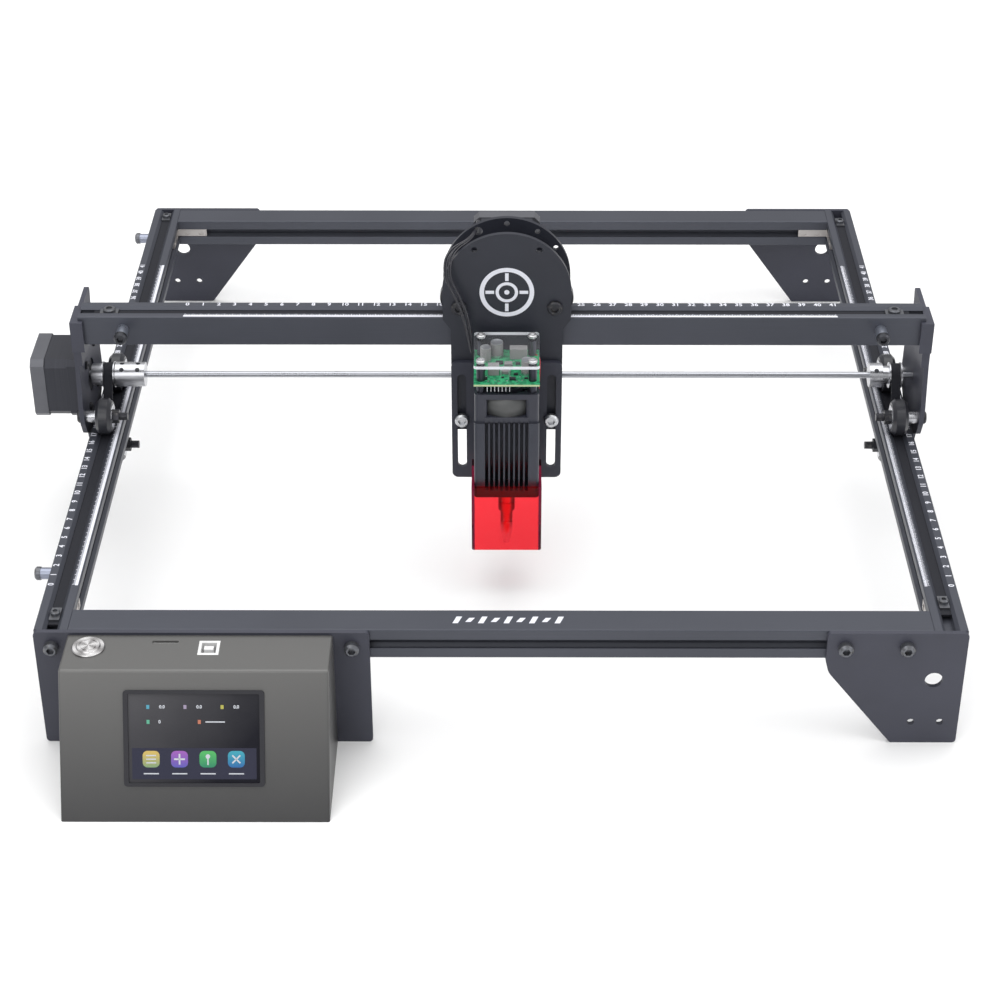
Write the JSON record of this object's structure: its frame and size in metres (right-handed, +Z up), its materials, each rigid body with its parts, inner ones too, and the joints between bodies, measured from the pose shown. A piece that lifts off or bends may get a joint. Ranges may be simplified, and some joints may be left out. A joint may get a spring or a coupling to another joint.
{
  "type": "laser_cutter",
  "caption": "Desktop laser engraver and cutter: slotted-bar frame on foot plates, belt-driven gantry and carriage, height-adjustable laser head and a control box with display.",
  "frame": {"origin": "on the floor, in the middle of the whole object's footprint with the gantry at rest", "axes": "+Z up, +Y to the back of the machine, +X to the right seen from the front"},
  "size_m": [0.5854, 0.6312, 0.2346],
  "materials": {
    "anodised_bar": "black anodised, fine brushed",
    "painted_plate": "black powder coat, satin",
    "box_paint": "dark grey powder coat, satin",
    "black_plastic": "moulded, fine texture",
    "wheel_plastic": "turned black acetal",
    "steel": "turned and polished",
    "black_steel": "black oxide socket screws",
    "bright_aluminium": "turned, satin",
    "belt_rubber": "toothed, matt",
    "display_glass": "dark glossy",
    "port_plastic": "white moulded",
    "board_green": "solder mask",
    "component": "mixed electronic parts",
    "clear_cover": "clear acrylic sheet",
    "shield_red": "tinted acrylic, satin",
    "sink_black": "black anodised fins",
    "wire": "insulated wire"
  },
  "bodies": {
    "frame": {"front_bar": "anodised_bar", "rear_bar": "anodised_bar", "left_rail": "anodised_bar", "right_rail": "anodised_bar", "front_left_plate": "painted_plate", "front_right_plate": "painted_plate", "rear_foot_plates": "painted_plate", "frame_screws": "black_steel", "rail_stop_sleeves": "steel", "corner_brackets": "steel", "belt_clamps": "steel", "y_belts": "belt_rubber", "box_shell": "box_paint", "box_floor": "box_paint", "display_bezel": "black_plastic", "display_panel": "display_glass", "button_housing": "black_plastic", "box_ports": "port_plastic", "main_board": "board_green"},
    "button": {"power_button": "bright_aluminium"},
    "gantry": {"gantry_beam": "anodised_bar", "left_end_plate": "painted_plate", "right_end_plate": "painted_plate", "beam_brackets": "painted_plate", "y_motor": "black_steel", "gantry_screws": "black_steel", "y_wheel_bearings": "steel", "y_wheel_bolts": "steel", "y_belt_loops": "belt_rubber", "x_belt": "belt_rubber", "x_belt_clamps": "steel", "beam_stop_posts": "black_steel"},
    "front_wheels": {"y_front_wheels": "wheel_plastic"},
    "rear_wheels": {"y_rear_wheels": "wheel_plastic"},
    "lower_wheels": {"y_lower_wheels": "wheel_plastic"},
    "drive_shaft": {"cross_shaft": "steel", "drive_pulleys": "bright_aluminium", "shaft_coupler": "bright_aluminium"},
    "carriage": {"front_carriage_plate": "painted_plate", "rear_carriage_plate": "painted_plate", "x_motor": "black_steel", "x_wheel_bearings": "steel", "carriage_screws": "black_steel", "x_belt_loop": "belt_rubber", "height_bolts": "steel", "head_leads": "wire"},
    "left_roller": {"x_left_wheel": "wheel_plastic"},
    "right_roller": {"x_right_wheel": "wheel_plastic"},
    "lower_roller": {"x_lower_wheel": "wheel_plastic"},
    "carriage_drive": {"x_pulley": "bright_aluminium"},
    "head": {"height_plate": "painted_plate", "heat_sink": "sink_black", "fan_frame": "black_plastic", "driver_board": "board_green", "board_components": "component", "acrylic_cover": "clear_cover", "standoffs": "black_steel", "nozzle": "bright_aluminium", "laser_shield": "shield_red"},
    "fan": {"fan_rotor": "black_plastic"}
  },
  "joints": [
    {"name": "button_press", "type": "slide", "parent": "frame", "child": "button", "axis": [0, 0, 1], "range_m": [-0.0018, 0], "stiffness_N_per_m": 500},
    {"name": "gantry_slide", "type": "slide", "parent": "frame", "child": "gantry", "axis": [0, 1, 0], "range_m": [-0.12, 0.23]},
    {"name": "front_wheel_spin", "type": "hinge", "parent": "gantry", "child": "front_wheels", "pos_m": [0.01485, -0.01815, 0.09], "axis": [1, 0, 0], "range_deg": [-1300, 690]},
    {"name": "rear_wheel_spin", "type": "hinge", "parent": "gantry", "child": "rear_wheels", "pos_m": [0.01485, 0.04185, 0.09], "axis": [1, 0, 0], "range_deg": [-1300, 690]},
    {"name": "lower_wheel_spin", "type": "hinge", "parent": "gantry", "child": "lower_wheels", "pos_m": [0.01485, 0.01185, 0.05], "axis": [1, 0, 0], "range_deg": [-690, 1300]},
    {"name": "drive_shaft_spin", "type": "hinge", "parent": "gantry", "child": "drive_shaft", "pos_m": [0.01485, 0.01185, 0.1046], "axis": [1, 0, 0], "range_deg": [-1100, 2090]},
    {"name": "carriage_slide", "type": "slide", "parent": "gantry", "child": "carriage", "axis": [1, 0, 0], "range_m": [-0.2015, 0.1955]},
    {"name": "left_roller_spin", "type": "hinge", "parent": "carriage", "child": "left_roller", "pos_m": [-0.01195, -0.02645, 0.1838], "axis": [0, 1, 0], "range_deg": [-1135, 1100]},
    {"name": "right_roller_spin", "type": "hinge", "parent": "carriage", "child": "right_roller", "pos_m": [0.04805, -0.02645, 0.1838], "axis": [0, 1, 0], "range_deg": [-1135, 1100]},
    {"name": "lower_roller_spin", "type": "hinge", "parent": "carriage", "child": "lower_roller", "pos_m": [0.01805, -0.02645, 0.1438], "axis": [0, 1, 0], "range_deg": [-1100, 1135]},
    {"name": "carriage_drive_spin", "type": "hinge", "parent": "carriage", "child": "carriage_drive", "pos_m": [0.01805, -0.02645, 0.1984], "axis": [0, 1, 0], "range_deg": [-1780, 1830]},
    {"name": "head_height", "type": "slide", "parent": "carriage", "child": "head", "axis": [0, 0, 1], "range_m": [-0.03, 0.033]},
    {"name": "fan_spin", "type": "hinge", "parent": "head", "child": "fan", "pos_m": [0.01805, -0.06845, 0.138], "axis": [0, 0, 1], "continuous": true}
  ],
  "couplings": [
    {"joint": "front_wheel_spin", "follows": "gantry_slide", "rad_per_m": -97.087},
    {"joint": "rear_wheel_spin", "follows": "gantry_slide", "rad_per_m": -97.087},
    {"joint": "lower_wheel_spin", "follows": "gantry_slide", "rad_per_m": 97.087},
    {"joint": "drive_shaft_spin", "follows": "gantry_slide", "rad_per_m": 157.08},
    {"joint": "left_roller_spin", "follows": "carriage_slide", "rad_per_m": 97.087},
    {"joint": "right_roller_spin", "follows": "carriage_slide", "rad_per_m": 97.087},
    {"joint": "lower_roller_spin", "follows": "carriage_slide", "rad_per_m": -97.087},
    {"joint": "carriage_drive_spin", "follows": "carriage_slide", "rad_per_m": -157.08}
  ]
}
